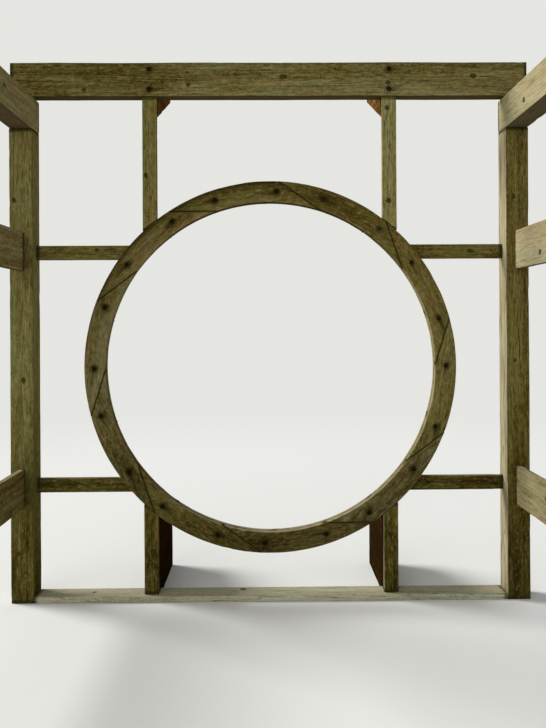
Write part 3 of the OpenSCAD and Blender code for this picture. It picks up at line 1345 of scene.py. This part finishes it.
class MOONGATE_OT_studs(GateOperator):
    """Builds the studs between the ring, the header and the sill"""

    bl_idname = "moongate.studs"
    bl_label = "Studs"

    def execute(self, context):
        for (level, side), tone in zip(CORNERS, STUD_TONES_AND_PAINTED_LIGHT):
            node = f"{level}_stud_{side}"
            piece = straight_piece(node, "frame_timber", ALONG_Z, lightness=tone)
            if node == "upper_stud_right":
                for x, z, radius in STUD_KNOTS:
                    add_knot(piece, x, z, radius)
                for x, z, reach, width, strength in STUD_TAILS:
                    add_tail(piece, Vector((x, 0, z)), reach, width, strength)
            faces = {"front": 1, "back": 1, "top": 1}
            add_chance_marks(piece, faces, depth=0.010, knots=0 if piece.knots else 1)
            build_timber(block_shape(piece, rows=0.9, stations=0.7), piece, fit_to_rim)
        return {"FINISHED"}


class MOONGATE_OT_rails(GateOperator):
    """Builds the rails between the ring and the gate posts"""

    bl_idname = "moongate.rails"
    bl_label = "Rails"

    def execute(self, context):
        for (level, side), tone in zip(CORNERS, RAIL_TONES):
            node = f"{level}_rail_{side}"
            piece = straight_piece(node, "frame_timber", ALONG_X, lightness=tone)
            add_chance_marks(piece, {"front": 1, "back": 1}, depth=0.007, knots=1)
            build_timber(block_shape(piece, rows=0.9, stations=0.6), piece, fit_to_rim)
        return {"FINISHED"}


class MOONGATE_OT_posts(GateOperator):
    """Builds the four square posts"""

    bl_idname = "moongate.posts"
    bl_label = "Posts"

    def execute(self, context):
        for row in ("gate", "front"):
            for side in SIDES:
                looks = {"lightness": POST_TONES[side], "warmth": POST_WARMTH[side]}
                piece = straight_piece(f"{row}_post_{side}", "post_timber", ALONG_Z, **looks)
                piece.pith = tuple(piece.dice.uniform(*POST_PITH) * reach for reach in piece.half.yz)
                faces = {"front": 2, "back": 2, "top": 2, "bottom": 2}
                add_chance_marks(piece, faces, depth=0.026, knots=3)
                build_timber(block_shape(piece, rows=1.1, stations=1.1), piece)
        return {"FINISHED"}


class MOONGATE_OT_sill(GateOperator):
    """Builds the bleached sill board"""

    bl_idname = "moongate.sill"
    bl_label = "Sill"

    def execute(self, context):
        # The sill gets no darkening near the ground, neither dampness nor painted shade
        piece = straight_piece("sill", "sill_timber", LYING, damp=0.0)
        add_chance_marks(piece, {"front": 3}, depth=0.008, knots=3)
        build_timber(block_shape(piece, rows=1.0, stations=1.0), piece)
        return {"FINISHED"}


# Painted shade that darkens the rear feet, and how much less warm their stains are
FOOT_PAINTED_SHADE = 0.28
FOOT_WARMTH = -0.3


class Bracket(Piece):
    """A rear arm or foot, cut from a board to an outline of depth and height."""

    pith = (0.1, 0.02)

    def __init__(self, node, outline):
        middle, half = lying_box(node, ALONG_Y)
        super().__init__(node, "sheltered_timber", ALONG_Y, middle, half)
        self.lightness = self.dice.uniform(*CHANCE_TONE)
        self.outline = [Vector((y - middle.y, z - middle.z)) for y, z in outline]

    def arris_distance(self, spot):
        return max(self.outline_distance(spot), self.half.z - abs(spot.z))

    def outline_distance(self, spot):
        """Distance of a point from the nearest side of the outline."""
        pairs = zip(self.outline, self.outline[1:] + self.outline[:1])
        return min(self.side_distance(spot.xy, start, stop) for start, stop in pairs)

    @staticmethod
    def side_distance(point, start, stop):
        """Distance of a point from one side of the outline."""
        run = stop - start
        share = clamped((point - start).dot(run) / run.length_squared)
        return (start + run * share - point).length


def bracket_shape(bracket):
    """The outline pushed out to its thickness, with eased arrises and mesh lines."""
    sizes = settings().timber
    half = bracket.half
    bm = bmesh.new()
    face = bm.faces.new([bm.verts.new((point.x, point.y, -half.z)) for point in bracket.outline])
    step = bmesh.ops.extrude_face_region(bm, geom=[face])
    lifted = [item for item in step["geom"] if isinstance(item, bmesh.types.BMVert)]
    bmesh.ops.translate(bm, vec=Vector((0, 0, 2 * half.z)), verts=lifted)
    bmesh.ops.recalc_face_normals(bm, faces=bm.faces)
    ease(bm, bm.edges[:], sizes.end_arris, 2)
    for axis, rows in enumerate((1.2, 1.4, 1.2)):
        slice_mesh(bm, axis, even_offsets(half[axis], sizes.row_spacing * rows))
    return bm


class MOONGATE_OT_brackets(GateOperator):
    """Builds the rear arms behind the header and the rear feet behind the lower studs"""

    bl_idname = "moongate.brackets"
    bl_label = "Rear arms and feet"

    def execute(self, context):
        sizes = settings().brackets
        for side in SIDES:
            low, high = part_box(f"rear_arm_{side}")
            arm = [
                (low.y, low.z),
                (high.y, high.z - sizes.arm_tip),
                (high.y, high.z),
                (HEADER_HIGH.y, high.z),
                (HEADER_HIGH.y, HEADER_LOW.z),
                (low.y, HEADER_LOW.z),
            ]
            bracket = Bracket(f"rear_arm_{side}", arm)
            build_timber(bracket_shape(bracket), bracket)
            low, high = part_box(f"rear_foot_{side}")
            foot = [
                (low.y, SILL_HIGH.z),
                (SILL_HIGH.y, SILL_HIGH.z),
                (SILL_HIGH.y, low.z),
                (high.y, low.z),
                (high.y, low.z + sizes.foot_tip),
                (low.y, high.z),
            ]
            bracket = Bracket(f"rear_foot_{side}", foot)
            # Painted shade darkens the feet
            bracket.lightness -= FOOT_PAINTED_SHADE
            bracket.warmth = FOOT_WARMTH
            build_timber(bracket_shape(bracket), bracket)
        return {"FINISHED"}


class MOONGATE_OT_side_beams(GateOperator):
    """Builds the beams on the posts of the side bays"""

    bl_idname = "moongate.side_beams"
    bl_label = "Side beams"

    def execute(self, context):
        for side, tone in BEAM_TONES_AND_PAINTED_LIGHT.items():
            piece = straight_piece(f"side_beam_{side}", "side_timber", ALONG_Y, lightness=tone)
            faces = {"front": 2, "back": 2, "top": 1, "bottom": 1}
            add_chance_marks(piece, faces, depth=0.016, knots=3)
            build_timber(block_shape(piece, rows=1.1, stations=1.1), piece)
        return {"FINISHED"}


class MOONGATE_OT_side_boards(GateOperator):
    """Builds the boards on edge of the side bays"""

    bl_idname = "moongate.side_boards"
    bl_label = "Side boards"

    def execute(self, context):
        for (level, side), tone in zip(CORNERS, BOARD_TONES_AND_PAINTED_LIGHT):
            node = f"side_board_{level}_{side}"
            piece = straight_piece(node, "side_timber", ALONG_Y, lightness=tone)
            add_chance_marks(piece, {"front": 2, "back": 2}, depth=0.008, knots=3)
            build_timber(block_shape(piece, rows=1.2, stations=1.1), piece)
        return {"FINISHED"}


# Corners of a bolt's washer and head, and the rounding of their front edges, in their heights
WASHER_CORNERS = 24
HEAD_CORNERS = 6
BOLT_ROUNDING = 0.28


def add_bolt(bm, place):
    """Adds a washer and a hexagonal head at the bottom of a recess."""
    sizes = settings().bolts
    floor_y = place.y + sizes.recess_depth
    turn = Matrix.Rotation(math.pi / 2, 4, "X")
    spin = Matrix.Rotation(random.Random(str(place)).uniform(0, 1), 4, "Z")
    rounds = (
        (sizes.washer_diameter / 2, WASHER_CORNERS, sizes.washer_thickness, 0.0),
        (sizes.head_width / math.sqrt(3), HEAD_CORNERS, sizes.head_height, sizes.washer_thickness),
    )
    for radius, segments, height, rise in rounds:
        middle = Matrix.Translation(Vector((place.x, floor_y - rise - height / 2, place.z)))
        made = bmesh.ops.create_cone(
            bm,
            cap_ends=True,
            segments=segments,
            radius1=radius,
            radius2=radius,
            depth=height,
            matrix=middle @ turn @ spin,
        )
        front = [
            edge
            for edge in {edge for vert in made["verts"] for edge in vert.link_edges}
            if all(abs(vert.co.y - (floor_y - rise - height)) < TINY for vert in edge.verts)
        ]
        ease(bm, front, height * BOLT_ROUNDING, 2)


def bolts_piece(name, places):
    """All bolts of one row as one joined piece."""
    bm = bmesh.new()
    for place in places:
        add_bolt(bm, place)
    made = mesh_object(bm, name, steel_finish())
    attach(made, "root")


class MOONGATE_OT_bolts(GateOperator):
    """Builds the bolts of the ring and of the header"""

    bl_idname = "moongate.bolts"
    bl_label = "Bolts"

    def execute(self, context):
        places = [place for number in range(1, SEGMENTS + 1) for place in segment_bolts(number)]
        bolts_piece("ring_bolts", places)
        bolts_piece("header_bolts", header_bolts())
        return {"FINISHED"}


# The lamps: the way that each one shines, and how wide its source is
SUN_DIRECTION = (0.80, -0.26, -0.54)
SUN_SPREAD = math.radians(25)
FILL_DIRECTION = (0.35, 0.85, -0.35)
FILL_SPREAD = math.radians(60)


class MOONGATE_OT_stage(GateOperator):
    """Sets up the floor, the light and the camera"""

    bl_idname = "moongate.stage"
    bl_label = "Stage"

    def execute(self, context):
        stage = settings().stage
        context.scene.view_settings.view_transform = "Standard"
        make_floor(stage)
        make_world(context.scene, stage)
        make_lamp("sun_lamp", stage.sun, SUN_DIRECTION, SUN_SPREAD)
        make_lamp("fill_lamp", stage.fill, FILL_DIRECTION, FILL_SPREAD)
        make_camera(context.scene, stage)
        return {"FINISHED"}


def make_floor(stage):
    """A round plain floor under the gate."""
    bm = bmesh.new()
    bmesh.ops.create_circle(bm, cap_ends=True, radius=stage.floor_radius, segments=96)
    floor = mesh_object(bm, "floor", floor_finish())


def make_world(scene, stage):
    """Even light all round, and a plain pale backdrop for the camera."""
    scene.world = bpy.data.worlds.new("backdrop")
    sky = Finish(scene.world)
    pale = linear(settings().colours.floor)
    light = sky.node("ShaderNodeBackground", {}, {"Color": (1, 1, 1, 1), "Strength": stage.sky})
    backdrop = sky.node("ShaderNodeBackground", {}, {"Color": pale, "Strength": 1.0})
    seen = sky.node("ShaderNodeLightPath", {}, {}, "Is Camera Ray")
    both = sky.node("ShaderNodeMixShader", {}, {0: seen, 1: light, 2: backdrop})
    sky.node("ShaderNodeOutputWorld", {}, {"Surface": both})


def make_lamp(name, strength, direction, spread):
    """A soft lamp far away that shines along a direction."""
    lamp = bpy.data.lights.new(name, "SUN")
    lamp.energy = strength
    lamp.angle = spread
    holder = bpy.data.objects.new(name, lamp)
    holder.rotation_euler = Vector(direction).to_track_quat("-Z", "Y").to_euler()
    bpy.context.scene.collection.objects.link(holder)


def make_camera(scene, stage):
    """A level camera with a small vertical shift, at the photograph's place."""
    camera = bpy.data.cameras.new("camera")
    camera.lens = stage.lens
    camera.shift_y = stage.rise
    holder = bpy.data.objects.new("camera", camera)
    turn = Matrix.Rotation(-stage.yaw, 4, "Z") @ Matrix.Rotation(math.pi / 2, 4, "X")
    lean = Matrix.Rotation(stage.roll, 4, "Z")
    holder.matrix_world = Matrix.Translation(Vector(stage.camera_place)) @ turn @ lean
    scene.collection.objects.link(holder)
    scene.camera = holder


PIECES = (
    MOONGATE_OT_stage,
    MOONGATE_OT_ring_front,
    MOONGATE_OT_ring_back,
    MOONGATE_OT_header,
    MOONGATE_OT_studs,
    MOONGATE_OT_rails,
    MOONGATE_OT_posts,
    MOONGATE_OT_sill,
    MOONGATE_OT_brackets,
    MOONGATE_OT_side_beams,
    MOONGATE_OT_side_boards,
    MOONGATE_OT_bolts,
)


class MOONGATE_PT_panel(bpy.types.Panel):
    """Lists the operators of the gate"""

    bl_idname = "MOONGATE_PT_panel"
    bl_label = "Moon gate"
    bl_space_type = "VIEW_3D"
    bl_region_type = "UI"
    bl_category = "Moon gate"

    def draw(self, context):
        for operator in PIECES:
            self.layout.operator(operator.bl_idname)


GROUPS = (RingSizes, TimberSizes, BoltSizes, BracketSizes, GateColours, StageSettings, GateSettings)


def register():
    """Registers the settings, operators and panel."""
    for group in (*GROUPS, *PIECES, MOONGATE_PT_panel):
        bpy.utils.register_class(group)
    bpy.types.Scene.moon_gate = PointerProperty(type=GateSettings)


def unregister():
    """Removes the settings, operators and panel."""
    del bpy.types.Scene.moon_gate
    for group in reversed((*GROUPS, *PIECES, MOONGATE_PT_panel)):
        bpy.utils.unregister_class(group)


def main():
    """Builds the whole gate."""
    register()
    for operator in PIECES:
        group, name = operator.bl_idname.split(".")
        getattr(getattr(bpy.ops, group), name)()


if __name__ == "__main__":
    main()
